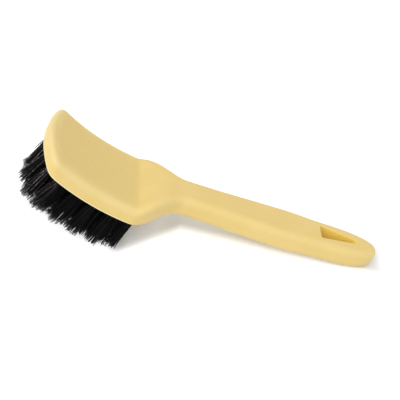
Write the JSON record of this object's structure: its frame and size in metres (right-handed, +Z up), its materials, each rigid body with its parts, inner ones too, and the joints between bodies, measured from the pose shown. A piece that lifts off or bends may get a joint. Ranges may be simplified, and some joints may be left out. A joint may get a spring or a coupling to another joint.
{
  "type": "upholstery detailing brush",
  "caption": "Hand brush for upholstery: upswept plastic head with short stiff bristles in drilled tufts, cranked neck, long swelling handle with a tapered hang hole.",
  "frame": {"origin": "middle of the bounding box's base, on the surface that the brush stands on", "axes": "+X from the head towards the hanging end, +Y across the brush, +Z up from the surface"},
  "size_m": [0.2238, 0.0586, 0.0579],
  "materials": {
    "block_plastic": "fine-grained satin, cream yellow through the plastic",
    "bristle_nylon": "black nylon monofilament with a soft sheen"
  },
  "bodies": {
    "root": {"handle_block": "block_plastic", "bristle_tuft_row_01_no_1": "bristle_nylon", "bristle_tuft_row_01_no_2": "bristle_nylon", "bristle_tuft_row_01_no_3": "bristle_nylon", "bristle_tuft_row_01_no_4": "bristle_nylon", "bristle_tuft_row_01_no_5": "bristle_nylon", "bristle_tuft_row_02_no_1": "bristle_nylon", "bristle_tuft_row_02_no_2": "bristle_nylon", "bristle_tuft_row_02_no_3": "bristle_nylon", "bristle_tuft_row_02_no_4": "bristle_nylon", "bristle_tuft_row_02_no_5": "bristle_nylon", "bristle_tuft_row_02_no_6": "bristle_nylon", "bristle_tuft_row_03_no_1": "bristle_nylon", "bristle_tuft_row_03_no_2": "bristle_nylon", "bristle_tuft_row_03_no_3": "bristle_nylon", "bristle_tuft_row_03_no_4": "bristle_nylon", "bristle_tuft_row_03_no_5": "bristle_nylon", "bristle_tuft_row_04_no_1": "bristle_nylon", "bristle_tuft_row_04_no_2": "bristle_nylon", "bristle_tuft_row_04_no_3": "bristle_nylon", "bristle_tuft_row_04_no_4": "bristle_nylon", "bristle_tuft_row_04_no_5": "bristle_nylon", "bristle_tuft_row_04_no_6": "bristle_nylon", "bristle_tuft_row_05_no_1": "bristle_nylon", "bristle_tuft_row_05_no_2": "bristle_nylon", "bristle_tuft_row_05_no_3": "bristle_nylon", "bristle_tuft_row_05_no_4": "bristle_nylon", "bristle_tuft_row_05_no_5": "bristle_nylon", "bristle_tuft_row_06_no_1": "bristle_nylon", "bristle_tuft_row_06_no_2": "bristle_nylon", "bristle_tuft_row_06_no_3": "bristle_nylon", "bristle_tuft_row_06_no_4": "bristle_nylon", "bristle_tuft_row_06_no_5": "bristle_nylon", "bristle_tuft_row_06_no_6": "bristle_nylon", "bristle_tuft_row_07_no_1": "bristle_nylon", "bristle_tuft_row_07_no_2": "bristle_nylon", "bristle_tuft_row_07_no_3": "bristle_nylon", "bristle_tuft_row_07_no_4": "bristle_nylon", "bristle_tuft_row_07_no_5": "bristle_nylon", "bristle_tuft_row_08_no_1": "bristle_nylon", "bristle_tuft_row_08_no_2": "bristle_nylon", "bristle_tuft_row_08_no_3": "bristle_nylon", "bristle_tuft_row_08_no_4": "bristle_nylon", "bristle_tuft_row_08_no_5": "bristle_nylon", "bristle_tuft_row_08_no_6": "bristle_nylon", "bristle_tuft_row_09_no_1": "bristle_nylon", "bristle_tuft_row_09_no_2": "bristle_nylon", "bristle_tuft_row_09_no_3": "bristle_nylon", "bristle_tuft_row_09_no_4": "bristle_nylon", "bristle_tuft_row_09_no_5": "bristle_nylon", "bristle_tuft_row_10_no_1": "bristle_nylon", "bristle_tuft_row_10_no_2": "bristle_nylon", "bristle_tuft_row_10_no_3": "bristle_nylon", "bristle_tuft_row_10_no_4": "bristle_nylon", "bristle_tuft_row_10_no_5": "bristle_nylon", "bristle_tuft_row_10_no_6": "bristle_nylon"}
  },
  "joints": []
}
